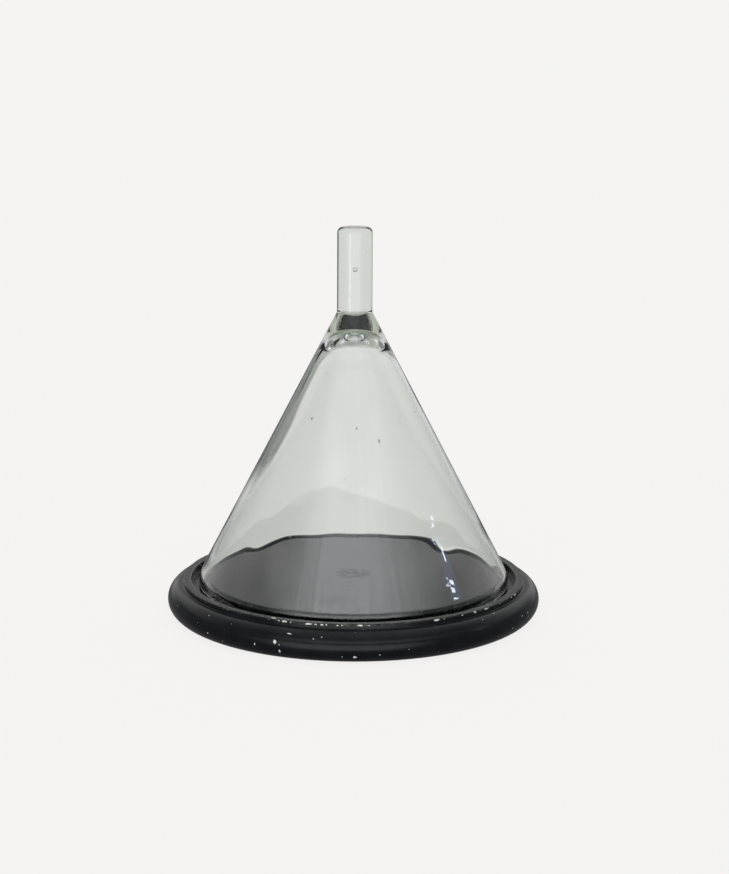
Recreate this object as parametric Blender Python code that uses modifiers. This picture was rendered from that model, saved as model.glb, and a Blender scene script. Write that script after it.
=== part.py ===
"""Conical glass cloche on a turned wooden base, for Blender 4.5.

A blown glass cone, with a solid glass rod for its handle, stands in the groove of a round
ebonised board and lifts straight off it. Units are metres and +Z is up. The origin is the
centre of the board's underside, on the axis that every piece is turned about.
"""

import math

import bpy

# Driving dimensions of the base board.
BASE_RADIUS = 0.150
EDGE_RADIUS = 0.012  # of the half-round edge, which is as thick as the board under the ring
RING_TOP = 0.028
RING_OUTER_RADIUS = 0.1375
RING_WIDTH = 0.0065
GROOVE_WIDTH = 0.0155
GROOVE_DEPTH = 0.006
PLATFORM_RISE = 0.0005  # how far the middle stands above the ring round it

# Driving dimensions of the glass.
FOOT_RADIUS = 0.1248
CONE_HALF_ANGLE = math.radians(27.5)
CONE_START = 0.0300  # height at which the straight cone, carried on down, is as wide as the foot
WALL = 0.0038
FOOT_BEND_RADIUS = 0.016  # where the wall turns from the cone to stand upright
HOLLOW_TOP = 0.226
DOME_RADIUS = 0.0185  # of the hollow's top
SHOULDER_RADIUS = 0.055  # of the longer curve from the top down to the cone
HANDLE_JOIN = 0.243
HANDLE_TOP = 0.310
HANDLE_RADIUS = 0.0140
HANDLE_CORNER = 0.0045

# Small edges, and the clearance between pieces that touch.
WORN_EDGE = 0.0008
JOINT_EDGE = 0.0004
CLEARANCE = 0.0003

# Facets round each turned piece. A multiple of 4 keeps its full width along X and Y.
WIDE_FACETS = 96
HANDLE_FACETS = 56

# Heights and radii that follow from the driving dimensions.
RING_INNER_RADIUS = RING_OUTER_RADIUS - RING_WIDTH
PLATFORM_RADIUS = RING_INNER_RADIUS - GROOVE_WIDTH
PLATFORM_TOP = RING_TOP + PLATFORM_RISE
GROOVE_FLOOR = RING_TOP - GROOVE_DEPTH
FOOT_BOTTOM = GROOVE_FLOOR + CLEARANCE
CONE_APEX = CONE_START + FOOT_RADIUS / math.tan(CONE_HALF_ANGLE)

COLLECTION_NAME = "glass_cloche"


def clear_scene():
    for obj in list(bpy.data.objects):
        bpy.data.objects.remove(obj)


def make_material(name, colour, roughness, transmission=0.0):
    material = bpy.data.materials.new(name)
    material.use_nodes = True
    shader = material.node_tree.nodes["Principled BSDF"]
    shader.inputs["Base Color"].default_value = (*colour, 1.0)
    shader.inputs["Roughness"].default_value = roughness
    shader.inputs["Metallic"].default_value = 0.0
    shader.inputs["IOR"].default_value = 1.5
    shader.inputs["Transmission Weight"].default_value = transmission
    return material


def arc(centre, radius, start, end, steps):
    """Points (r, z) round a centre, from one angle to another in degrees: 0 is outwards, 90 is up."""
    points = []
    for step in range(steps + 1):
        angle = math.radians(start + (end - start) * step / steps)
        points.append((centre[0] + radius * math.cos(angle), centre[1] + radius * math.sin(angle)))
    return points


def turned(name, outline, facets, material, collection, parent=None, height=0.0):
    """Turns an outline of (r, z) points about Z.

    It runs from the axis at the top, down the outer side, back to the axis. The object's
    origin is on the axis at the given height, and the outline's heights are the part's own.
    """
    mesh = bpy.data.meshes.new(name)
    vertices = [(r, 0.0, z - height) for r, z in outline]
    edges = [(i, i + 1) for i in range(len(vertices) - 1)]
    mesh.from_pydata(vertices, edges, [])
    obj = bpy.data.objects.new(name, mesh)
    collection.objects.link(obj)
    screw = obj.modifiers.new("turn", "SCREW")
    screw.axis = "Z"
    screw.angle = 2 * math.pi
    screw.steps = facets
    screw.render_steps = facets
    screw.use_merge_vertices = True
    screw.merge_threshold = 0.00001

    solid = bpy.data.meshes.new_from_object(obj.evaluated_get(bpy.context.evaluated_depsgraph_get()))
    solid.name = name
    solid.shade_smooth()
    solid.set_sharp_from_angle(angle=math.radians(40))
    solid.materials.append(material)
    obj.modifiers.remove(screw)
    obj.data = solid
    bpy.data.meshes.remove(mesh)
    obj.parent = parent
    obj.location.z = height - (parent.location.z if parent else 0.0)
    return obj


def base_outline():
    """Platform, groove, flat ring, half-round edge and flat underside."""
    soft = WORN_EDGE
    outline = [(0.0, PLATFORM_TOP)]
    outline += arc((PLATFORM_RADIUS - soft, PLATFORM_TOP - soft), soft, 90, 0, 3)
    outline += arc((PLATFORM_RADIUS + soft, GROOVE_FLOOR + soft), soft, 180, 270, 2)
    outline += arc((RING_INNER_RADIUS - soft, GROOVE_FLOOR + soft), soft, 270, 360, 2)
    outline += arc((RING_INNER_RADIUS + soft, RING_TOP - soft), soft, 180, 90, 3)
    outline += arc((RING_OUTER_RADIUS - soft, RING_TOP - soft), soft, 90, 0, 3)
    # The riser drops from the ring to the top of the half-round edge.
    edge_centre = (BASE_RADIUS - EDGE_RADIUS, EDGE_RADIUS)
    outline += [(RING_OUTER_RADIUS, 2 * EDGE_RADIUS)]
    outline += arc(edge_centre, EDGE_RADIUS, 90, -90, 14)
    outline += [(0.0, 0.0)]
    return outline


def cone_outline():
    """Solid neck, straight outer cone, rounded foot and the hollow with its pointed dome."""
    slope = math.degrees(CONE_HALF_ANGLE)
    sine = math.sin(CONE_HALF_ANGLE)
    cosine = math.cos(CONE_HALF_ANGLE)
    neck_top = HANDLE_JOIN - CLEARANCE
    neck_radius = (CONE_APEX - neck_top) * math.tan(CONE_HALF_ANGLE)

    # The bend's centre lies inside the wall, so both of its faces turn about it.
    bend_r = FOOT_RADIUS - FOOT_BEND_RADIUS
    bend_z = CONE_APEX - (FOOT_BEND_RADIUS + bend_r * cosine) / sine

    # The shoulder touches the inner cone at its foot and the ball at the hollow's top. slant is
    # the angle that it turns through, and its centre lies beyond the axis.
    hollow_apex = CONE_APEX - WALL / sine
    dome_height = HOLLOW_TOP - DOME_RADIUS
    gap = SHOULDER_RADIUS - DOME_RADIUS
    slant = math.acos((SHOULDER_RADIUS - (hollow_apex - dome_height) * sine) / gap)
    turn = CONE_HALF_ANGLE + slant
    shoulder = (-gap * math.cos(turn), dome_height - gap * math.sin(turn))

    lip = WALL / 2
    outline = [(0.0, neck_top)]
    outline += [(neck_radius - JOINT_EDGE, neck_top), (neck_radius, neck_top - JOINT_EDGE)]
    outline += arc((bend_r, bend_z), FOOT_BEND_RADIUS, slope, 0, 4)
    outline += arc((FOOT_RADIUS - lip, FOOT_BOTTOM + lip), lip, 0, -180, 6)
    outline += arc((bend_r, bend_z), FOOT_BEND_RADIUS - WALL, 0, slope, 4)
    outline += arc(shoulder, SHOULDER_RADIUS, slope, math.degrees(turn), 5)
    outline += arc((0.0, dome_height), DOME_RADIUS, math.degrees(turn), 90, 4)[1:]
    # The last point of the dome is on the axis, so rounding must not leave it beside it.
    outline[-1] = (0.0, HOLLOW_TOP)
    return outline


def handle_outline():
    """Solid rod with a softened top, squared off where it joins the neck."""
    corner = HANDLE_CORNER
    outline = [(0.0, HANDLE_TOP)]
    outline += arc((HANDLE_RADIUS - corner, HANDLE_TOP - corner), corner, 90, 0, 6)
    outline += [(HANDLE_RADIUS, HANDLE_JOIN + JOINT_EDGE), (HANDLE_RADIUS - JOINT_EDGE, HANDLE_JOIN)]
    outline += [(0.0, HANDLE_JOIN)]
    return outline


def build():
    clear_scene()
    collection = bpy.data.collections.new(COLLECTION_NAME)
    bpy.context.scene.collection.children.link(collection)

    black_wood = make_material("ebonised_wood", (0.017, 0.018, 0.020), 0.42)
    clear_glass = make_material("blown_glass", (0.90, 0.95, 0.92), 0.02, transmission=1.0)

    turned("base_board", base_outline(), WIDE_FACETS, black_wood, collection)

    # The glass lifts as one, along the axis on which this empty stands.
    cloche = bpy.data.objects.new("cloche", None)
    cloche.location = (0.0, 0.0, FOOT_BOTTOM)
    cloche.empty_display_size = FOOT_RADIUS
    collection.objects.link(cloche)
    turned("glass_cone", cone_outline(), WIDE_FACETS, clear_glass, collection, cloche, FOOT_BOTTOM)
    turned("glass_handle", handle_outline(), HANDLE_FACETS, clear_glass, collection, cloche, HANDLE_JOIN)


build()
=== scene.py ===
"""Looks of the conical glass cloche on its ebonised base: fine meshes, materials, light and camera.

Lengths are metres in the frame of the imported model: +Z up, origin under the middle of the base.
Angles round the axis are measured from the front, which faces -Y, towards +X.
"""

import math

import bpy
import numpy as np
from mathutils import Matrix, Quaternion, Vector, noise


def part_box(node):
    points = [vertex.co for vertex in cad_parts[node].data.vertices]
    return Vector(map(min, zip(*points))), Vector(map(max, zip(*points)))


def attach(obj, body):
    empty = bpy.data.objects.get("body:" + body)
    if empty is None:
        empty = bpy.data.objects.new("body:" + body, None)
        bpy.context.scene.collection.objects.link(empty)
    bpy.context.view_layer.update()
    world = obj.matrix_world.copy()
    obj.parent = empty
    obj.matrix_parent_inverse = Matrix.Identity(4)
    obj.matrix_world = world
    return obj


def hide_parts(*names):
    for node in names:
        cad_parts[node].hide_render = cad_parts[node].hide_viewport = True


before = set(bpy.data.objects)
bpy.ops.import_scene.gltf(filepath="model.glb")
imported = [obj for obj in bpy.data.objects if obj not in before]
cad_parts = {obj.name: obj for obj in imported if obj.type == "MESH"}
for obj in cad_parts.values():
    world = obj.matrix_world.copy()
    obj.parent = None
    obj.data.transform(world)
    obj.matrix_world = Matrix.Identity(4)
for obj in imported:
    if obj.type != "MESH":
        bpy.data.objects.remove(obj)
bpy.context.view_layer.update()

# ---------------------------------------------------------------- sizes, from the CAD boxes and its profile
BOARD_LOW, BOARD_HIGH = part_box("base_board")
CONE_LOW, CONE_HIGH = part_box("glass_cone")
HANDLE_LOW, HANDLE_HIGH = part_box("glass_handle")

BASE_RADIUS = BOARD_HIGH.x
PLATFORM_TOP = BOARD_HIGH.z
PLATFORM_RISE = 0.0005  # how far the platform stands above the ring
GROOVE_DEPTH = 0.006
EDGE_RADIUS = 0.012  # of the half-round edge
RING_OUTER_RADIUS = 0.1375
RING_INNER_RADIUS = 0.131
PLATFORM_RADIUS = 0.1155
WORN_EDGE = 0.0008
WORN_REACH = 0.0022  # how far wear spreads from a corner
CHIP_SINK = 0.00022
DENT_SINK = 0.00025
RING_TOP = PLATFORM_TOP - PLATFORM_RISE
GROOVE_FLOOR = RING_TOP - GROOVE_DEPTH

FOOT_RADIUS = CONE_HIGH.x
FOOT_BOTTOM = CONE_LOW.z
HANDLE_JOIN = HANDLE_LOW.z
HANDLE_TOP = HANDLE_HIGH.z
HANDLE_RADIUS = HANDLE_HIGH.x
HANDLE_CORNER = 0.0045
SLOPE = math.radians(27.5)  # of the cone's side, from upright
CONE_START = 0.0300  # height at which the straight cone, carried on down, is as wide as the foot
CONE_APEX = CONE_START + FOOT_RADIUS / math.tan(SLOPE)
WALL = 0.0038
FOOT_BEND_RADIUS = 0.016
HOLLOW_TOP = 0.226
DOME_RADIUS = 0.0185  # of the hollow's top
SHOULDER_RADIUS = 0.055  # of the longer curve from the top down to the cone
JOIN_FILLET = 0.006
SEED_DEPTH = 0.45  # how far into the wall its seeds lie, as a share of it

BOARD_COLUMNS = 900
GLASS_COLUMNS = 300
OUTER_SKIN, INNER_SKIN = 0, 1


# ---------------------------------------------------------------- shared mesh tools
def arc(centre, radius, start, end, steps):
    """Points (r, z) round a centre, from one angle to another in degrees: 0 is outwards, 90 is up."""
    angles = np.radians(np.linspace(start, end, steps + 1))
    return [(centre[0] + radius * math.cos(a), centre[1] + radius * math.sin(a)) for a in angles]


def line(start, end, steps):
    """Points (r, z) on a straight stretch, without its start."""
    return [tuple(start[k] + (end[k] - start[k]) * i / steps for k in (0, 1)) for i in range(1, steps + 1)]


def smooth_step(x):
    x = np.clip(x, 0.0, 1.0)
    return x * x * (3 - 2 * x)


def revolve(radii, heights, angles):
    """Vertices and faces of a turned skin with a pole at each end, from (rows, columns) arrays."""
    rows, columns = radii.shape
    xyz = np.stack([radii * np.sin(angles), -radii * np.cos(angles), heights], axis=-1)
    poles = np.array([[0.0, 0.0, heights[0].mean()], [0.0, 0.0, heights[-1].mean()]])
    ring = xyz[1:-1].reshape(-1, 3)
    inner = rows - 2
    vertices = np.concatenate([ring, poles])
    top, bottom = len(ring), len(ring) + 1
    across = np.arange(columns)
    following = (across + 1) % columns
    faces = []
    for i in range(inner - 1):
        a, b = i * columns, (i + 1) * columns
        faces += np.stack([a + across, b + across, b + following, a + following], axis=-1).tolist()
    faces += [[top, int(i), int(j)] for i, j in zip(across, following)]
    last = (inner - 1) * columns
    faces += [[bottom, int(last + j), int(last + i)] for i, j in zip(across, following)]
    return vertices, faces


def mesh_object(name, vertices, faces, material, body, replaced):
    """A smooth mesh that rides on a body and stands for the CAD pieces it replaces."""
    mesh = bpy.data.meshes.new(name)
    mesh.from_pydata([tuple(v) for v in vertices], [], faces)
    mesh.validate()
    mesh.shade_smooth()
    mesh.materials.append(material)
    piece = bpy.data.objects.new(name, mesh)
    bpy.context.scene.collection.objects.link(piece)
    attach(piece, body)
    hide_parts(*replaced)
    return piece


def paint_points(piece, name, values):
    """Gives every point of a mesh a number, which its material reads by name."""
    attribute = piece.data.attributes.new(name, "FLOAT", "POINT")
    attribute.data.foreach_set("value", np.asarray(values, dtype=np.float32))


def grids(outline, columns):
    """The radius and the height of every point of a turned skin, as (rows, columns) arrays."""
    return [np.repeat(outline[:, k:k + 1], columns, axis=1) for k in (0, 1)]


def outward(outline):
    """The direction away from the solid at each row of an outline, as two columns: r and z."""
    tangent = np.gradient(outline, axis=0)
    tangent /= np.maximum(np.hypot(*tangent.T), 1e-9)[:, None]
    return -tangent[:, 1:], tangent[:, :1]


def turn_from(angles, degrees):
    """How far round each angle lies from a place given in degrees, between half a turn back and forth."""
    return (angles - math.radians(degrees) + math.pi) % (2 * math.pi) - math.pi


def noise_grid(x, y, z, scale, seed):
    """Smooth noise from -1 to 1 at every point of three equal arrays. Features are about 1/scale across."""
    flat = np.stack([x, y, z], axis=-1).reshape(-1, 3) * scale
    values = [noise.noise(Vector((p[0] + seed, p[1] - seed, p[2] + 2 * seed))) for p in flat]
    return np.array(values).reshape(np.shape(x))


# ---------------------------------------------------------------- node tools
MIX_COLOUR_A, MIX_COLOUR_B, MIX_COLOUR_OUT = 6, 7, 2  # the colour sockets of a mix node
BLACK = (0.0, 0.0, 0.0)


class Nodes:
    """Short calls for building a node tree."""

    def __init__(self, tree):
        self.tree = tree
        self.shader = tree.nodes.get("Principled BSDF")

    def add(self, kind, **settings):
        node = self.tree.nodes.new(kind)
        for key, value in settings.items():
            setattr(node, key, value)
        return node

    def link(self, source, target):
        self.tree.links.new(source, target)

    def noise(self, vector, scale, detail=3.0, roughness=0.55, distortion=0.0):
        node = self.add("ShaderNodeTexNoise")
        node.inputs["Scale"].default_value = scale
        node.inputs["Detail"].default_value = detail
        node.inputs["Roughness"].default_value = roughness
        node.inputs["Distortion"].default_value = distortion
        self.link(vector, node.inputs["Vector"])
        return node.outputs["Fac"]

    def stretched(self, vector, scale):
        node = self.add("ShaderNodeMapping")
        node.inputs["Scale"].default_value = scale
        self.link(vector, node.inputs["Vector"])
        return node.outputs["Vector"]

    def ramp(self, value, low, high, out_low=0.0, out_high=1.0):
        """A soft step from out_low to out_high, as the value goes from low to high."""
        node = self.add("ShaderNodeMapRange", interpolation_type="SMOOTHSTEP")
        self.link(value, node.inputs["Value"])
        for key, number in (("From Min", low), ("From Max", high), ("To Min", out_low), ("To Max", out_high)):
            node.inputs[key].default_value = number
        return node.outputs["Result"]

    def band(self, value, rise, fall):
        """1 between two soft edges, and 0 outside them."""
        return self.math("MULTIPLY", self.ramp(value, *rise), self.ramp(value, *fall, 1.0, 0.0))

    def math(self, operation, a, b=0.0):
        node = self.add("ShaderNodeMath", operation=operation)
        for socket, value in zip(node.inputs, (a, b)):
            if isinstance(value, (int, float)):
                socket.default_value = value
            else:
                self.link(value, socket)
        return node.outputs["Value"]

    def mix(self, factor, a, b):
        """Mixes two colours, each a socket or (r, g, b)."""
        node = self.add("ShaderNodeMix", data_type="RGBA")
        self.link(factor, node.inputs["Factor"])
        for socket, value in ((node.inputs[MIX_COLOUR_A], a), (node.inputs[MIX_COLOUR_B], b)):
            if isinstance(value, tuple):
                socket.default_value = (*value, 1.0)
            else:
                self.link(value, socket)
        return node.outputs[MIX_COLOUR_OUT]

    def attribute(self, name):
        return self.add("ShaderNodeAttribute", attribute_name=name).outputs["Fac"]

    def position(self):
        return self.add("ShaderNodeTexCoord").outputs["Object"]

    def split(self, vector):
        node = self.add("ShaderNodeSeparateXYZ")
        self.link(vector, node.inputs["Vector"])
        return node.outputs

    def length(self, vector):
        node = self.add("ShaderNodeVectorMath", operation="LENGTH")
        self.link(vector, node.inputs[0])
        return node.outputs["Value"]

    def bump(self, height, distance, strength=1.0, after=None):
        node = self.add("ShaderNodeBump")
        node.inputs["Distance"].default_value = distance
        node.inputs["Strength"].default_value = strength
        self.link(height, node.inputs["Height"])
        if after is not None:
            self.link(after, node.inputs["Normal"])
        return node.outputs["Normal"]


def new_material(name):
    """A material, and the tools for its node tree."""
    material = bpy.data.materials.new(name)
    material.use_nodes = True
    return material, Nodes(material.node_tree)


# ---------------------------------------------------------------- materials
# Linear colours. A pair is mixed unevenly.
PAINT = ((0.0045, 0.0048, 0.0055), (0.010, 0.0105, 0.0115))
RUBBED_PAINT = ((0.019, 0.019, 0.0185), (0.034, 0.034, 0.032))
GRAIN_LINES = (0.060, 0.060, 0.057)
WORN_PAINT = (0.16, 0.155, 0.14)
CREAM_GROUND = ((0.78, 0.74, 0.64), (0.97, 0.95, 0.89))
DUST = (0.45, 0.44, 0.41)
CLEAR_GLASS = ((0.982, 0.990, 0.976), (0.966, 0.977, 0.960))
# Darker green where the glass is solid: partly its tint, partly painted shade.
SOLID_GLASS_AND_SHADE = (0.36, 0.40, 0.33)
# Darker where the thicker stretch is seen at a slant: mostly painted shade, partly its tint.
THICK_GLASS_AND_SHADE = (0.15, 0.175, 0.145)
# Painted shade at the glass's edges.
GLASS_EDGE_SHADE = (0.10, 0.13, 0.10)

LATHE_RINGS = 2100.0  # radians of the rings' wave in a metre
# Depths of the relief that the materials draw.
RING_RELIEF = 0.00001
GRAIN_RELIEF = 0.00003
BRUSH_RELIEF = 0.000006
CHIP_RELIEF = 0.00025
GLASS_RELIEF = 0.00002


def ebonised_wood():
    """Black satin paint on turned wood: rubbed flats, lathe lines, dust, and chips down to a cream ground."""
    material, m = new_material("ebonised_wood")
    where = m.position()
    flat = m.attribute("flat")

    blotches = m.noise(where, 42.0, 3.0)
    fine = m.noise(where, 700.0, 3.0, 0.7)
    grain = m.noise(m.stretched(where, (9.0, 230.0, 230.0)), 1.0, 2.0, 0.50)

    # Dark paint, lifted a little where cloths and hands have rubbed it.
    paint = m.mix(m.ramp(blotches, 0.35, 0.70), *PAINT)
    rubbed = m.mix(m.ramp(fine, 0.30, 0.75), *RUBBED_PAINT)
    rub_mask = m.math("MULTIPLY", m.ramp(blotches, 0.28, 0.78, 0.18, 0.75), flat)
    colour = m.mix(rub_mask, paint, rubbed)
    grain_mask = m.math("MULTIPLY", m.math("MULTIPLY", m.ramp(grain, 0.35, 0.80), flat), 0.22)
    colour = m.mix(grain_mask, colour, GRAIN_LINES)

    # Edges are worn through to grey, and the ground shows cream in the chips.
    rubs = m.ramp(m.noise(where, 260.0, 5.0, 0.7), 0.52, 0.68)
    worn_mask = m.math("MULTIPLY", rubs, m.math("MULTIPLY", m.attribute("wear"), 0.7))
    colour = m.mix(worn_mask, colour, WORN_PAINT)
    cream = m.mix(m.ramp(fine, 0.35, 0.65), *CREAM_GROUND)
    chip_edge = m.math("ADD", m.attribute("chip"), m.ramp(fine, 0.2, 0.8, -0.16, 0.16))
    chip_mask = m.ramp(chip_edge, 0.42, 0.52)
    colour = m.mix(chip_mask, colour, cream)

    # Something stood on the middle of the platform and dulled it there.
    off_axis = m.length(m.stretched(where, (1.0, 1.0, 0.0)))
    streaky = m.noise(m.stretched(where, (150.0, 420.0, 1.0)), 1.0, 3.0, 0.6)
    scuff = m.math("MULTIPLY", m.ramp(off_axis, 0.003, 0.018, 1.0, 0.0), m.ramp(streaky, 0.49, 0.54))

    # Grains of pale dust.
    specks = m.add("ShaderNodeTexVoronoi", feature="F1")
    specks.inputs["Scale"].default_value = 260.0
    m.link(where, specks.inputs["Vector"])
    rare = m.math("GREATER_THAN", m.noise(where, 33.0, 2.0), 0.60)
    dust = m.math("MULTIPLY", m.math("LESS_THAN", specks.outputs["Distance"], 0.085), rare)
    colour = m.mix(m.math("MULTIPLY", dust, 0.55), colour, DUST)
    m.link(colour, m.shader.inputs["Base Color"])

    satin = m.ramp(m.noise(where, 60.0, 3.0, 0.5), 0.25, 0.80, 0.195, 0.262)
    rough = m.math("ADD", satin, m.math("MULTIPLY", chip_mask, 0.45))
    rough = m.math("ADD", rough, m.math("MULTIPLY", scuff, 0.7))
    m.link(rough, m.shader.inputs["Roughness"])
    m.shader.inputs["IOR"].default_value = 1.45
    m.shader.inputs["Specular IOR Level"].default_value = 0.27

    # The lathe left fine rings, the brush left streaks, and the chips are as deep as the paint.
    height = m.split(where)["Z"]
    rings = m.math("SINE", m.math("MULTIPLY", m.math("ADD", off_axis, height), LATHE_RINGS))
    normal = m.bump(m.math("MULTIPLY", rings, blotches), RING_RELIEF, 0.4)
    normal = m.bump(grain, GRAIN_RELIEF, 0.5, normal)
    normal = m.bump(fine, BRUSH_RELIEF, 0.5, normal)
    normal = m.bump(m.math("MULTIPLY", chip_mask, -1.0), CHIP_RELIEF, 1.0, normal)
    m.link(normal, m.shader.inputs["Normal"])
    return material


def blown_glass():
    """Clear glass with a green tint, painted shade darkening its edges, its thicker stretch and its neck,
    soft ripples and faint smears.
    """
    material, m = new_material("blown_glass")
    where = m.position()
    weight = m.add("ShaderNodeLayerWeight")
    weight.inputs["Blend"].default_value = 0.5
    slant = weight.outputs["Facing"]
    # Painted shade darkens the glass where it is seen edge on.
    edge = m.math("POWER", slant, 6.0)
    haze = m.ramp(m.noise(where, 22.0, 3.0), 0.35, 0.75)
    tint = m.mix(haze, *CLEAR_GLASS)
    # The solid neck is darkened and greened, partly as its tint and partly as painted shade.
    tint = m.mix(m.attribute("solid"), tint, SOLID_GLASS_AND_SHADE)
    # The thicker stretch of wall is dark where it is seen at a slant, and clear where it is seen face on; the
    # dark is mostly painted shade and partly the thicker glass's tint.
    deep = m.math("MULTIPLY", m.attribute("thick"), m.ramp(slant, 0.14, 0.22))
    tint = m.mix(deep, tint, THICK_GLASS_AND_SHADE)
    m.link(m.mix(edge, tint, GLASS_EDGE_SHADE), m.shader.inputs["Base Color"])
    m.shader.inputs["Transmission Weight"].default_value = 1.0
    m.shader.inputs["IOR"].default_value = 1.5
    smears = m.noise(m.stretched(where, (60.0, 60.0, 14.0)), 1.0, 4.0, 0.65, 0.8)
    m.link(m.ramp(smears, 0.55, 0.85, 0.0, 0.035), m.shader.inputs["Roughness"])
    ripples = m.noise(m.stretched(where, (60.0, 60.0, 22.0)), 1.0, 2.0)
    m.link(m.bump(ripples, GLASS_RELIEF, 0.20), m.shader.inputs["Normal"])
    return material


# ---------------------------------------------------------------- the wooden board
def board_outline():
    """(r, z) down the board's profile, from the middle of the platform to the middle of the underside."""
    soft = WORN_EDGE
    points = [(0.0, PLATFORM_TOP)]
    points += line((0.0, PLATFORM_TOP), (PLATFORM_RADIUS - 3 * soft, PLATFORM_TOP), 12)
    points += arc((PLATFORM_RADIUS - soft, PLATFORM_TOP - soft), soft, 90, 0, 5)
    points += arc((PLATFORM_RADIUS + soft, GROOVE_FLOOR + soft), soft, 180, 270, 3)
    points += line((PLATFORM_RADIUS + soft, GROOVE_FLOOR), (RING_INNER_RADIUS - 2 * soft, GROOVE_FLOOR), 4)
    points += arc((RING_INNER_RADIUS - soft, GROOVE_FLOOR + soft), soft, 270, 360, 3)
    points += arc((RING_INNER_RADIUS + soft, RING_TOP - soft), soft, 180, 90, 5)
    points += line((RING_INNER_RADIUS + soft, RING_TOP), (RING_OUTER_RADIUS - 2 * soft, RING_TOP), 5)
    points += arc((RING_OUTER_RADIUS - soft, RING_TOP - soft), soft, 90, 0, 6)
    points += line((RING_OUTER_RADIUS, RING_TOP - soft), (RING_OUTER_RADIUS, 2 * EDGE_RADIUS + 0.0003), 5)
    points += arc((BASE_RADIUS - EDGE_RADIUS, EDGE_RADIUS), EDGE_RADIUS, 90, -90, 44)
    points += line((BASE_RADIUS - EDGE_RADIUS, 0.0), (0.0, 0.0), 6)
    return np.array(points)


def edge_chip(angle, length, width=0.0014, radius=RING_OUTER_RADIUS - 0.0002, height=RING_TOP - 0.0008):
    """A chip in the paint, by default on the ring's outer edge. The angle is in degrees."""
    return (angle, radius, height, length, width)


def round_chip(angle, turn, length, width):
    """A chip on the half-round edge. turn is the angle round that edge: 0 faces outwards and 90 up."""
    radius = BASE_RADIUS - EDGE_RADIUS + EDGE_RADIUS * math.cos(math.radians(turn))
    height = EDGE_RADIUS + EDGE_RADIUS * math.sin(math.radians(turn))
    return (angle, radius, height, length, width)


# The large chips at the front, along the ring's outer edge and then on the half-round edge.
FRONT_CHIPS = [
    edge_chip(-26.3, 0.0058, 0.0042, RING_OUTER_RADIUS - 0.0022, RING_TOP),
    edge_chip(-24.0, 0.0014), edge_chip(-21.9, 0.0060, 0.0015), edge_chip(-20.0, 0.0016),
    edge_chip(-14.1, 0.0075, 0.0016), edge_chip(-11.9, 0.0022, 0.0015), edge_chip(-9.8, 0.0030),
    edge_chip(-8.4, 0.0016), edge_chip(-4.9, 0.0018), edge_chip(-3.4, 0.0017),
    edge_chip(2.0, 0.0058, 0.0016), edge_chip(4.9, 0.0020), edge_chip(27.1, 0.0062, 0.0019),
    edge_chip(29.8, 0.0014), edge_chip(37.0, 0.0012), edge_chip(42.5, 0.0040, 0.0016),
    edge_chip(45.0, 0.0016), edge_chip(47.9, 0.0066, 0.0018), edge_chip(55.5, 0.0018, 0.0010),
    edge_chip(64.0, 0.0024), edge_chip(67.3, 0.0056, 0.0016),
    round_chip(-48.0, -14, 0.0030, 0.0021), round_chip(-42.0, -28, 0.0014, 0.0012),
    round_chip(-29.5, -8, 0.0023, 0.0018), round_chip(-23.0, 14, 0.0034, 0.0042),
    round_chip(-21.5, 5, 0.0015, 0.0018), round_chip(-21.6, -24, 0.0020, 0.0044),
    round_chip(-19.0, 48, 0.0046, 0.0013), round_chip(0.5, -28, 0.0036, 0.0026),
    round_chip(7.5, -20, 0.0011, 0.0010), round_chip(13.0, 5, 0.0011, 0.0010),
    round_chip(66.0, 14, 0.0011, 0.0030),
]


def scattered_chips():
    """Small chips all round, with the larger ones kept to the back, where the front's list stops."""
    random = np.random.default_rng(11)
    chips = []
    for angle in random.uniform(78, 285, 46):
        chips.append(edge_chip(angle, random.uniform(0.001, 0.006), random.uniform(0.0008, 0.0017)))
    for angle in random.uniform(80, 285, 16):
        size = random.uniform(0.0012, 0.0032)
        chips.append(round_chip(angle, random.uniform(-35, 60), size, size * random.uniform(0.6, 1.3)))
    for angle in random.uniform(0, 360, 70):
        size = random.uniform(0.0004, 0.0009)
        chips.append(round_chip(angle, random.uniform(-50, 80), size, size))
    for angle in random.uniform(80, 280, 14):
        size = random.uniform(0.0006, 0.0012)
        chips.append(edge_chip(angle, 2 * size, size, RING_INNER_RADIUS + 0.0003, RING_TOP - 0.0003))
    return chips


def chip_depths(outline, angles, ragged):
    """How deep each point lies in a chip, from 0 outside to 1. Ragged noise shapes the chips' edges."""
    steps = np.hypot(*np.diff(outline, axis=0).T)
    along = np.concatenate([[0.0], np.cumsum(steps)])
    chip = np.zeros_like(ragged)
    for angle, radius, height, length, width in FRONT_CHIPS + scattered_chips():
        row = np.argmin(np.hypot(outline[:, 0] - radius, outline[:, 1] - height))
        turn = turn_from(angles, angle)
        columns = np.nonzero(np.abs(turn) * radius < length)[0]
        rows = np.nonzero(np.abs(along - along[row]) < width + 0.001)[0]
        u = turn[columns] * radius / (length / 2)
        v = (along[rows] - along[row]) / (width / 2)
        block = np.ix_(rows, columns)
        inside = 1.25 - np.hypot(v[:, None], u[None, :]) + 0.55 * ragged[block]
        chip[block] = np.maximum(chip[block], np.clip(inside, 0, 1))
    return chip


def worn_corners(outline):
    """How far each row is worn as a corner: 1 on it and 0 beyond the reach of wear."""
    corners = ((PLATFORM_RADIUS, PLATFORM_TOP), (RING_INNER_RADIUS, RING_TOP), (RING_OUTER_RADIUS, RING_TOP))
    wear = np.zeros(len(outline))
    for r, z in corners:
        near = 1 - np.hypot(outline[:, 0] - r, outline[:, 1] - z) / WORN_REACH
        wear = np.maximum(wear, np.clip(near, 0, 1))
    return wear


def rubbed_flats(outline):
    """How much cloths rub each row: fully on the flats, and partly over the top of the half-round edge."""
    r, z = outline.T
    flat = (z > RING_TOP - 0.0004) * 1.0
    flat += smooth_step((z - 0.0215) / 0.0025) * (r > RING_OUTER_RADIUS + 0.0002) * 0.7
    return flat


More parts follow.
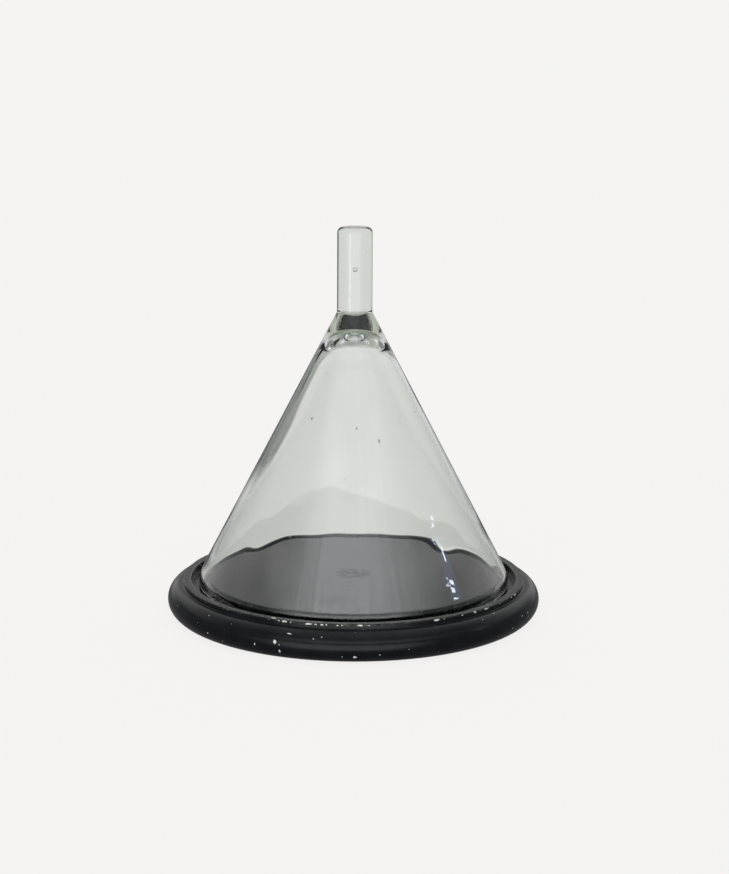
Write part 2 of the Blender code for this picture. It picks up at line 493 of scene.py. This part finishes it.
def make_board():
    """The turned board, with its chips and dents sunk along the outline's own outward direction."""
    outline = board_outline()
    angles = np.linspace(0.0, 2 * math.pi, BOARD_COLUMNS, endpoint=False)
    grid_r, grid_z = grids(outline, BOARD_COLUMNS)
    x, y = grid_r * np.sin(angles), -grid_r * np.cos(angles)
    chip = chip_depths(outline, angles, noise_grid(x, y, grid_z, 900.0, 3.1))
    wear = worn_corners(outline)[:, None] * np.ones_like(chip)
    flat = rubbed_flats(outline)[:, None] * np.ones_like(chip)
    dents = noise_grid(x, y, grid_z, 130.0, 7.7)

    out_r, out_z = outward(outline)
    sunk = CHIP_SINK * smooth_step((chip - 0.35) / 0.25) + DENT_SINK * wear * np.clip(dents, 0, 1)
    grid_r = grid_r - out_r * sunk
    grid_z = np.maximum(grid_z - out_z * sunk, 0.0)

    vertices, faces = revolve(grid_r, grid_z, angles)
    piece = mesh_object("turned_board", vertices, faces, ebonised_wood(), "base",
                        ["base_board"])
    for name, grid in (("chip", chip), ("wear", wear), ("flat", flat)):
        poles = [grid[0].mean(), grid[-1].mean()]
        paint_points(piece, name, np.concatenate([grid[1:-1].reshape(-1), poles]))


# ---------------------------------------------------------------- the glass
def glass_outline():
    """(r, z, kind) down the outside from the handle's top and up the inside to the dome.

    kind is OUTER_SKIN or INNER_SKIN, and between them round the foot's lip.
    """
    sine, cosine = math.sin(SLOPE), math.cos(SLOPE)
    slope = math.degrees(SLOPE)
    join_z = CONE_APEX - HANDLE_RADIUS / math.tan(SLOPE)
    bend_r = FOOT_RADIUS - FOOT_BEND_RADIUS
    bend_z = CONE_APEX - (FOOT_BEND_RADIUS + bend_r * cosine) / sine
    hollow_apex = CONE_APEX - WALL / sine
    dome_z = HOLLOW_TOP - DOME_RADIUS
    # The shoulder touches the inner cone at its foot and the ball at the hollow's top.
    gap = SHOULDER_RADIUS - DOME_RADIUS
    turn = SLOPE + math.acos((SHOULDER_RADIUS - (hollow_apex - dome_z) * sine) / gap)
    shoulder = (-gap * math.cos(turn), dome_z - gap * math.sin(turn))
    lip = WALL / 2

    corner = HANDLE_CORNER
    outer = [(0.0, HANDLE_TOP)]
    outer += line((0.0, HANDLE_TOP), (HANDLE_RADIUS - corner, HANDLE_TOP), 6)
    outer += arc((HANDLE_RADIUS - corner, HANDLE_TOP - corner), corner, 90, 0, 12)[1:]
    # A small hollow curve joins the rod to the cone, where the two were melted together.
    tangent_drop = JOIN_FILLET * math.tan(SLOPE / 2)
    fillet = arc((HANDLE_RADIUS + JOIN_FILLET, join_z + tangent_drop), JOIN_FILLET, 180, 180 + slope, 5)
    outer += line((HANDLE_RADIUS, HANDLE_TOP - corner), fillet[0], 26) + fillet[1:]
    bend_outer = arc((bend_r, bend_z), FOOT_BEND_RADIUS, slope, 0, 8)
    outer += line(fillet[-1], bend_outer[0], 90)
    outer += bend_outer[1:]
    lip_arc = arc((FOOT_RADIUS - lip, FOOT_BOTTOM + lip), lip, 0, -180, 14)
    bend_inner = arc((bend_r, bend_z), FOOT_BEND_RADIUS - WALL, 0, slope, 8)
    dome = arc(shoulder, SHOULDER_RADIUS, slope, math.degrees(turn), 22)
    dome += arc((0.0, dome_z), DOME_RADIUS, math.degrees(turn), 90, 16)[1:]
    inner = bend_inner + line(bend_inner[-1], dome[0], 80) + dome[1:]
    # Rounding must not leave the dome's last point beside the axis.
    inner[-1] = (0.0, HOLLOW_TOP)
    points = np.array(outer + lip_arc + inner)
    round_lip = np.linspace(OUTER_SKIN, INNER_SKIN, len(lip_arc))
    kind = np.concatenate([np.full(len(outer), OUTER_SKIN), round_lip, np.full(len(inner), INNER_SKIN)])
    dome_foot = dome[0][1]
    return points, kind, dome_foot


def bubble(centre, radii, axis=(0.0, 0.0, 1.0)):
    """Vertices and inward-facing faces of a small ellipsoid of air. axis is the way its third radius runs."""
    rows, columns = 14, 24
    turn = np.linspace(0, 2 * math.pi, columns, endpoint=False)
    down = np.linspace(0, math.pi, rows)
    radii_grid = np.sin(down)[:, None] * np.ones(columns)
    heights = np.cos(down)[:, None] * np.ones(columns)
    vertices, faces = revolve(radii_grid, heights, turn)
    rotation = np.array(Vector((0, 0, 1)).rotation_difference(Vector(axis)).to_matrix())
    vertices = (vertices * np.array(radii)) @ rotation.T + np.array(centre)
    return vertices, [face[::-1] for face in faces]


def in_wall(angle, height):
    """A point inside the cone's wall, and the way downhill there."""
    turn = math.radians(angle)
    radius = (CONE_APEX - height) * math.tan(SLOPE) - SEED_DEPTH * WALL / math.cos(SLOPE)
    downhill = (math.sin(SLOPE) * math.sin(turn), -math.sin(SLOPE) * math.cos(turn), -math.cos(SLOPE))
    return (radius * math.sin(turn), -radius * math.cos(turn), height), downhill


def glass_flaws():
    """The bubble in the handle and the seeds in the cone, as (centre, radii, axis)."""
    flaws = [
        ((0.0003, -0.0050, 0.2773), (0.0020, 0.0018, 0.0019), (0.10, 0.0, 1.0)),
        ((-0.0024, -0.0060, 0.2557), (0.0004, 0.0004, 0.0007), (0.0, 0.0, 1.0)),
        ((0.0052, 0.0040, 0.2900), (0.00025, 0.00025, 0.0004), (0.0, 0.0, 1.0)),
    ]
    # Seeds in the wall, as (angle, height, width, length): four at the front, and the rest at random.
    seeds = [
        (-38.0, 0.1650, 0.0007, 0.0011), (2.0, 0.1600, 0.0006, 0.0009),
        (18.5, 0.1505, 0.0007, 0.0016), (40.5, 0.1620, 0.0004, 0.0006),
    ]
    random = np.random.default_rng(5)
    for _ in range(26):
        width = random.uniform(0.0002, 0.00045)
        angle, height = random.uniform(60, 330), random.uniform(0.050, 0.215)
        seeds.append((angle, height, width, width * random.uniform(1.1, 2.6)))
    for angle, height, width, length in seeds:
        centre, downhill = in_wall(angle, height)
        flaws.append((centre, (width, width, length), downhill))
    return flaws


# Swellings of the inner wall, which bend what is seen through it, as (angle, height, width round the
# cone, length down it, how thick). The first four are in front, low down.
WALL_SWELLS = (
    (-29.0, 0.071, 0.014, 0.009, 0.00045), (-50.0, 0.075, 0.007, 0.009, 0.00035),
    (27.0, 0.071, 0.016, 0.009, 0.00038), (47.0, 0.074, 0.012, 0.007, 0.00060),
    (150.0, 0.085, 0.016, 0.010, 0.00050), (205.0, 0.070, 0.012, 0.012, 0.00045),
    (120.0, 0.120, 0.010, 0.014, 0.00035), (240.0, 0.110, 0.012, 0.010, 0.00040),
)
BROAD_WAVE = 0.00045
MIDDLE_WAVE = 0.00022
OUTER_WAVE = 0.00002
THICK_ANGLE = -94.0  # the middle of a thicker stretch of wall, high up on one side
THICK_GROWTH = 0.00012
THICK_FOOT = 0.098
THICK_TOP = 0.226


def above_foot(z):
    """0 at the foot, whose lip stays true, and 1 from 26 mm above it."""
    return smooth_step((z - FOOT_BOTTOM - 0.006) / 0.02)


def inner_waves(x, y, z, angles, dome_foot):
    """How far the inner wall stands in from a true cone: broad waves, smaller ones and the swellings."""
    waves = BROAD_WAVE * noise_grid(x, y, z * 1.1, 17.0, 4.4)
    waves = waves + MIDDLE_WAVE * noise_grid(x, y, z * 0.6, 42.0, 9.2)
    for angle, height, across, along, swell in WALL_SWELLS:
        reach = (turn_from(angles, angle) * (CONE_APEX - height) * math.tan(SLOPE) / across) ** 2
        reach = reach + ((z - height) / math.cos(SLOPE) / along) ** 2
        waves = waves + swell * np.exp(-0.5 * reach)
    return waves * above_foot(z) * smooth_step((dome_foot + 0.004 - z) / 0.02)


def thick_stretch(z, angles):
    """1 in the middle of the thicker stretch of wall and 0 outside it."""
    nearness = np.cos(angles - math.radians(THICK_ANGLE))
    thick = smooth_step((nearness - 0.905) / 0.045) * smooth_step((z - THICK_FOOT) / 0.03)
    return thick * smooth_step((THICK_TOP - z) / 0.02)


def solid_glass(vertices):
    """How dark and green each point is where the glass is solid, partly its tint and partly painted shade:
    most in the neck, a little in the rod.
    """
    heights, radii = vertices[:, 2], np.hypot(vertices[:, 0], vertices[:, 1])
    on_skin = radii > (CONE_APEX - heights) * math.tan(SLOPE) - 0.002
    strength = np.where(heights < HANDLE_JOIN - 0.0008, 1.0, 0.17)
    solid = smooth_step((heights - 0.2230) / 0.005) * strength * on_skin
    on_dome = (radii < 0.011) & (heights > HOLLOW_TOP - 0.006) & (heights < HOLLOW_TOP + 0.001)
    return np.where(on_dome, 0.7, solid)


def make_glass():
    """The cone and its handle in one skin, with bubbles of air inside it."""
    points, kind, dome_foot = glass_outline()
    angles = np.linspace(0.0, 2 * math.pi, GLASS_COLUMNS, endpoint=False)
    grid_r, grid_z = grids(points, GLASS_COLUMNS)
    x, y = grid_r * np.sin(angles), -grid_r * np.cos(angles)

    # The outward direction points away from the glass, so the inner skin moves along it as the wall grows.
    out_r, out_z = outward(points)
    waves = inner_waves(x, y, grid_z, angles, dome_foot)
    thick = thick_stretch(grid_z, angles)
    outer_wave = OUTER_WAVE * noise_grid(x, y, grid_z, 18.0, 1.3) * above_foot(grid_z)
    is_inner = (kind == INNER_SKIN)[:, None]
    is_outer = (kind == OUTER_SKIN)[:, None]
    on_cone = grid_z < HANDLE_JOIN - 0.004
    shift = np.where(is_inner, waves + THICK_GROWTH * thick, np.where(is_outer & on_cone, outer_wave, 0.0))
    grid_r = np.maximum(grid_r + out_r * shift, 0.0)
    grid_z = grid_z + out_z * shift

    vertices, faces = revolve(grid_r, grid_z, angles)
    for centre, radii, axis in glass_flaws():
        more, more_faces = bubble(centre, radii, axis)
        offset = len(vertices)
        vertices = np.concatenate([vertices, more])
        faces += [[i + offset for i in face] for face in more_faces]
    piece = mesh_object("blown_cloche", vertices, faces, blown_glass(), "cloche",
                        ["glass_cone", "glass_handle"])
    # The two poles and the bubbles, which follow the skin's points, are never thick.
    thick = thick[1:-1].reshape(-1)
    thick = np.concatenate([thick, np.zeros(len(vertices) - len(thick))])
    paint_points(piece, "solid", solid_glass(vertices))
    paint_points(piece, "thick", thick)


# ---------------------------------------------------------------- stage, light and camera
# Bearings are in radians and grow towards +X. Those of the backdrop and of the dark patch are 0
# straight behind the object, and the others are 0 straight in front of it. A pair such as
# BACKDROP_LEFT is where a soft edge starts and where it ends.
BACKGROUND = (0.913, 0.905, 0.888)  # the floor and the backdrop, as the camera sees them
FLOOR_SHADING = 0.12  # how much of the floor's tone is real shading, which leaves a faint contact shadow
FLOOR_LIGHT = 0.64  # how bright the studio's light makes a white floor
FLOOR_HALF_WIDTH = 30.0
FLOOR_DROP = 0.0004  # how far the floor lies under the board

# What shows of the floor through the glass: the table, the backdrop past its corner, and a dark patch.
TABLE_THROUGH_GLASS = (0.655, 0.66, 0.635)
BACKDROP_THROUGH_GLASS = (0.765, 0.775, 0.745)
DARK_THROUGH_GLASS = (0.06, 0.065, 0.06)
TABLE_CORNER = (-0.025, 0.440, 0.0)
TABLE_EDGES = ((-0.837, 0.547, 0.0), (0.814, 0.581, 0.0))  # the ways that the two edges at the corner face
TABLE_EDGE_SOFTNESS = 0.006
DARK_CENTRE = 0.3  # how far in front of the object the dark patch's bearing is taken from
DARK_BEARING = (0.80, 1.00)
DARK_DISTANCE = (0.60, 0.75)
DARK_BEHIND = (0.02, 0.10)

# What reflects of the floor: a dim table, its lit part in front, and a bright strip far out on it.
TABLE_REFLECTED = (0.20, 0.20, 0.21)
FRONT_GLOW = (2.00, 2.02, 2.06)
FRONT_LEFT = (-1.20, -0.60)
FRONT_RIGHT = (0.40, 0.95)
FRONT_CENTRE = -0.11
FRONT_DISTANCE = (0.165, 0.200)
HANDLE_STRIP = (5.0, 5.0, 5.0)
STRIP_LEFT = (-0.62, -0.60)
STRIP_RIGHT = (-0.45, -0.43)
STRIP_DISTANCE = (0.95, 1.00)

# Radiance up the backdrop and up the room in front, as (sine of the elevation, radiance, how blue).
BACKDROP_PROFILE = ((0.0, 0.77, 0.0), (0.45, 0.78, 0.0), (0.70, 0.55, 0.02), (1.0, 0.80, 0.03))
FRONT_PROFILE = (
    (0.0, 0.25, 0.03), (0.12, 0.25, 0.03), (0.20, 0.20, 0.05), (0.80, 0.24, 0.05), (1.0, 0.80, 0.03),
)
BACKDROP_LEFT = (-0.75, -0.35)
BACKDROP_RIGHT = (0.35, 0.75)
BACKDROP_HIGH = (-0.10, 0.75)  # along Y, for what is high up
MIDDLE_LEFT = (-0.075, -0.050)
MIDDLE_RIGHT = (0.010, 0.100)
MIDDLE_END = (0.22, 0.30)
FRONT_ELEVATION = (0.12, 0.42)
WINDOW = (1.45, 1.58, 1.62)
WINDOW_LEFT = (-1.25, -0.35)
WINDOW_RIGHT = (0.10, 1.35)
WINDOW_FOOT = (0.44, 0.58)
WINDOW_BAR = (0.69, 0.76)
WINDOW_TOP = (0.80, 0.95)

# The window's far panes, as (azimuth, elevation, width, height) with the angles in degrees.
PANES = (
    (86.3, 24.8, 0.085, 0.0080), (85.2, 24.65, 0.085, 0.0080),
    (85.3, 23.85, 0.105, 0.0150), (87.7, 26.2, 0.040, 0.0230),
)
PANE_DISTANCE = 1.49
PANE_RADIANCE = 16.0
PANE_COLOUR = (0.86, 0.92, 1.0)
PANE_ROLL = -20.6  # in degrees, which turns the glints to run down the cone
GLINT = (0.086, -0.071, 0.045)  # where on the glass the panes glint
SKY_PATCH = (86.6, 25.2, 1.6, 0.28, 0.13)  # (azimuth, elevation, distance, width, height)
SKY_RADIANCE = 0.75
SKY_COLOUR = (0.22, 0.38, 1.0)

CAMERA_LENS = 82.2
CAMERA_DISTANCE = 1.6
CAMERA_ELEVATION = math.radians(12.47)
CAMERA_ROLL = math.radians(0.3)
ORBIT_CENTRE = Vector((0.0, 0.0, 0.120))
AIM_OFFSET = Vector((0.0083, 0.0047, 0.0211))


def floor_through_glass(m, place, distance):
    """The floor's tone for rays that come through the glass."""
    beyond_edges = []
    for facing in TABLE_EDGES:
        offset = m.add("ShaderNodeVectorMath", operation="SUBTRACT")
        offset.inputs[1].default_value = TABLE_CORNER
        m.link(m.position(), offset.inputs[0])
        along = m.add("ShaderNodeVectorMath", operation="DOT_PRODUCT")
        along.inputs[1].default_value = facing
        m.link(offset.outputs["Vector"], along.inputs[0])
        beyond_edges.append(along.outputs["Value"])
    beyond = m.ramp(m.math("MAXIMUM", *beyond_edges), -TABLE_EDGE_SOFTNESS, TABLE_EDGE_SOFTNESS)
    through = m.mix(beyond, TABLE_THROUGH_GLASS, BACKDROP_THROUGH_GLASS)
    # A dark patch, behind the object and well to its right, draws the fine dark line along the handle.
    around = m.math("ARCTAN2", place["X"], m.math("ADD", place["Y"], DARK_CENTRE))
    dark = m.math("MULTIPLY", m.ramp(around, *DARK_BEARING), m.ramp(distance, *DARK_DISTANCE))
    dark = m.math("MULTIPLY", dark, m.ramp(place["Y"], *DARK_BEHIND))
    return m.mix(dark, through, DARK_THROUGH_GLASS)


def floor_reflected(m, place, distance):
    """The floor's tone for rays that reflect off the object."""
    # The lit table in front draws a soft line along the half-round edge, down to the base's own shade.
    front = m.math("ARCTAN2", place["X"], m.math("SUBTRACT", FRONT_CENTRE, place["Y"]))
    lit = m.math("MULTIPLY", m.band(front, FRONT_LEFT, FRONT_RIGHT), m.ramp(distance, *FRONT_DISTANCE))
    reflected = m.mix(lit, TABLE_REFLECTED, FRONT_GLOW)
    # A bright strip far out on the table draws the line down the handle.
    bearing = m.math("ARCTAN2", place["X"], m.math("MULTIPLY", place["Y"], -1.0))
    strip = m.math("MULTIPLY", m.band(bearing, STRIP_LEFT, STRIP_RIGHT), m.ramp(distance, *STRIP_DISTANCE))
    return m.mix(strip, reflected, HANDLE_STRIP)


def make_floor():
    """A flat pale floor. Rays that reach it through or off the object see other tones, by direction."""
    half = FLOOR_HALF_WIDTH
    corners = [(x, y, -FLOOR_DROP) for x, y in ((-half, -half), (half, -half), (half, half), (-half, half))]
    mesh = bpy.data.meshes.new("floor")
    mesh.from_pydata(corners, [], [(0, 1, 2, 3)])
    floor = bpy.data.objects.new("floor", mesh)
    bpy.context.scene.collection.objects.link(floor)
    material, m = new_material("floor")
    mesh.materials.append(material)
    m.shader.inputs["Roughness"].default_value = 1.0
    m.shader.inputs["Specular IOR Level"].default_value = 0.0
    m.shader.inputs["Emission Strength"].default_value = 1.0

    rays = m.add("ShaderNodeLightPath").outputs
    place = m.split(m.position())
    distance = m.length(m.position())
    through, reflected = floor_through_glass(m, place, distance), floor_reflected(m, place, distance)
    bounced = m.mix(rays["Is Transmission Ray"], reflected, through)
    shadowed = tuple(FLOOR_SHADING * channel for channel in BACKGROUND)
    lit = tuple((1.0 - FLOOR_SHADING * FLOOR_LIGHT) * channel for channel in BACKGROUND)
    m.link(m.mix(rays["Is Camera Ray"], BLACK, shadowed), m.shader.inputs["Base Color"])
    m.link(m.mix(rays["Is Camera Ray"], bounced, lit), m.shader.inputs["Emission Color"])


def sky_profile(m, up, stops):
    """A colour that changes with the sine of the elevation."""
    ramp = m.add("ShaderNodeValToRGB")
    m.link(up, ramp.inputs["Fac"])
    elements = ramp.color_ramp.elements
    while len(elements) < len(stops):
        elements.new(0.5)
    for element, (position, value, blue) in zip(elements, stops):
        element.position = position
        element.color = (value, value * (1 + 0.4 * blue), value * (1 + blue), 1.0)
    return ramp.outputs["Color"]


def streaks_round(m, bearing, scale, detail, roughness, low, high):
    """Uneven upright streaks, from low to high, that change with the bearing alone."""
    across = m.add("ShaderNodeCombineXYZ")
    m.link(bearing, across.inputs["X"])
    return m.ramp(m.noise(across.outputs["Vector"], scale, detail, roughness), 0.3, 0.7, low, high)


def backdrop_and_room(m, direction, rays):
    """The pale backdrop behind the object and the dim room in front of it."""
    up = direction["Z"]
    around = m.math("ARCTAN2", direction["X"], direction["Y"])
    through = m.math("GREATER_THAN", rays["Transmission Depth"], 0.5)
    mirrored = m.math("GREATER_THAN", rays["Glossy Depth"], 0.5)
    not_mirrored = m.math("SUBTRACT", 1.0, mirrored)

    # Bare wood sees the backdrop end at both sides. Glass would turn that end into hard bands.
    low_behind = m.band(around, BACKDROP_LEFT, BACKDROP_RIGHT)
    high_behind = m.ramp(direction["Y"], *BACKDROP_HIGH)
    whole = m.math("MAXIMUM", m.ramp(up, 0.25, 0.45), through)
    behind = m.math("ADD", m.math("MULTIPLY", high_behind, whole),
                    m.math("MULTIPLY", low_behind, m.math("SUBTRACT", 1.0, whole)))
    # Straight through the glass the room is pale whichever way it is seen.
    straight = m.math("MULTIPLY", through, not_mirrored)
    behind = m.math("MAXIMUM", behind, m.math("MULTIPLY", straight, m.ramp(up, 0.30, 0.55, 1.0, 0.0)))
    room = m.mix(behind, sky_profile(m, up, FRONT_PROFILE), sky_profile(m, up, BACKDROP_PROFILE))

    # The platform mirrors the low middle of the backdrop, which is the brightest and a little streaked.
    middle = m.band(around, MIDDLE_LEFT, MIDDLE_RIGHT)
    middle = m.math("MAXIMUM", middle, m.ramp(m.math("ABSOLUTE", around), *MIDDLE_END))
    streaks = streaks_round(m, around, 75.0, 2.0, 0.55, 0.92, 1.08)
    fall = m.math("MULTIPLY", m.ramp(middle, 0.0, 1.0, 0.55, 1.0), streaks)
    fall = m.math("MAXIMUM", fall, m.math("MAXIMUM", m.ramp(up, 0.30, 0.45), not_mirrored))
    dimmed = m.add("ShaderNodeVectorMath", operation="SCALE")
    m.link(room, dimmed.inputs[0])
    m.link(fall, dimmed.inputs["Scale"])
    return m.mix(behind, room, dimmed.outputs["Vector"])


def window_glow(m, azimuth, elevation):
    """A high window in front, which lays a veil of light on the glass."""
    window = m.math("MULTIPLY", m.ramp(azimuth, *WINDOW_LEFT), m.ramp(azimuth, *WINDOW_RIGHT, 1.0, 0.12))
    window = m.math("MULTIPLY", window, m.ramp(elevation, *WINDOW_FOOT))
    window = m.math("MULTIPLY", window, m.ramp(elevation, *WINDOW_BAR, 1.0, 0.45))
    window = m.math("MULTIPLY", window, m.ramp(elevation, *WINDOW_TOP, 1.0, 0.0))
    window = m.math("MULTIPLY", window, streaks_round(m, azimuth, 9.0, 4.0, 0.6, 0.75, 1.25))
    return m.mix(window, BLACK, WINDOW)


def make_world():
    """Light by direction: the backdrop and the room, the window, and a low glow in front."""
    world = bpy.data.worlds.new("studio")
    bpy.context.scene.world = world
    world.use_nodes = True
    m = Nodes(world.node_tree)
    rays = m.add("ShaderNodeLightPath").outputs
    direction = m.split(m.add("ShaderNodeTexCoord").outputs["Generated"])
    azimuth = m.math("ARCTAN2", direction["X"], m.math("MULTIPLY", direction["Y"], -1.0))
    elevation = m.math("ARCSINE", direction["Z"])

    room = backdrop_and_room(m, direction, rays)
    below = m.ramp(elevation, *FRONT_ELEVATION, 1.0, 0.0)
    low = m.math("MULTIPLY", m.band(azimuth, FRONT_LEFT, FRONT_RIGHT), below)
    room = m.mix(low, room, FRONT_GLOW)
    glow = m.add("ShaderNodeMix", data_type="RGBA", blend_type="ADD")
    glow.inputs["Factor"].default_value = 1.0
    m.link(room, glow.inputs[MIX_COLOUR_A])
    m.link(window_glow(m, azimuth, elevation), glow.inputs[MIX_COLOUR_B])
    seen = m.mix(rays["Is Camera Ray"], glow.outputs[MIX_COLOUR_OUT], BACKGROUND)
    m.link(seen, m.tree.nodes["Background"].inputs["Color"])


def add_light(name, azimuth, elevation, distance, width, height, radiance, colour):
    """A rectangular lamp seen from the glint at that azimuth and elevation in degrees, facing it."""
    data = bpy.data.lights.new(name, "AREA")
    data.shape = "RECTANGLE"
    data.size, data.size_y = width, height
    data.energy = radiance * math.pi * width * height
    data.color = colour
    lamp = bpy.data.objects.new(name, data)
    bpy.context.scene.collection.objects.link(lamp)
    a, e = math.radians(azimuth), math.radians(elevation)
    away = Vector((math.sin(a) * math.cos(e), -math.cos(a) * math.cos(e), math.sin(e)))
    roll = Quaternion((0.0, 0.0, 1.0), math.radians(PANE_ROLL))
    lamp.location = Vector(GLINT) + away * distance
    lamp.rotation_mode = "QUATERNION"
    lamp.rotation_quaternion = away.to_track_quat("Z", "Y") @ roll
    lamp.visible_camera = False


def make_lights():
    """Far panes of a window that glint on the cone's side, with a little blue sky round them."""
    for step, (azimuth, elevation, width, height) in enumerate(PANES):
        add_light(f"side_pane_{step}", azimuth, elevation, PANE_DISTANCE, width, height,
                  PANE_RADIANCE, PANE_COLOUR)
    add_light("side_sky", *SKY_PATCH, SKY_RADIANCE, SKY_COLOUR)


def make_camera():
    """The camera stands in front and a little above, as far off as the proportions say."""
    data = bpy.data.cameras.new("camera")
    data.sensor_width = 36.0
    data.lens = CAMERA_LENS
    camera = bpy.data.objects.new("camera", data)
    bpy.context.scene.collection.objects.link(camera)
    bpy.context.scene.camera = camera
    away = Vector((0.0, -math.cos(CAMERA_ELEVATION), math.sin(CAMERA_ELEVATION)))
    camera.location = ORBIT_CENTRE + CAMERA_DISTANCE * away
    look = (ORBIT_CENTRE + AIM_OFFSET - camera.location).to_track_quat("-Z", "Y")
    camera.rotation_mode = "QUATERNION"
    camera.rotation_quaternion = look @ Quaternion((0.0, 0.0, 1.0), CAMERA_ROLL)


make_board()
make_glass()
make_floor()
make_world()
make_lights()
make_camera()
bpy.context.scene.view_settings.view_transform = "Standard"
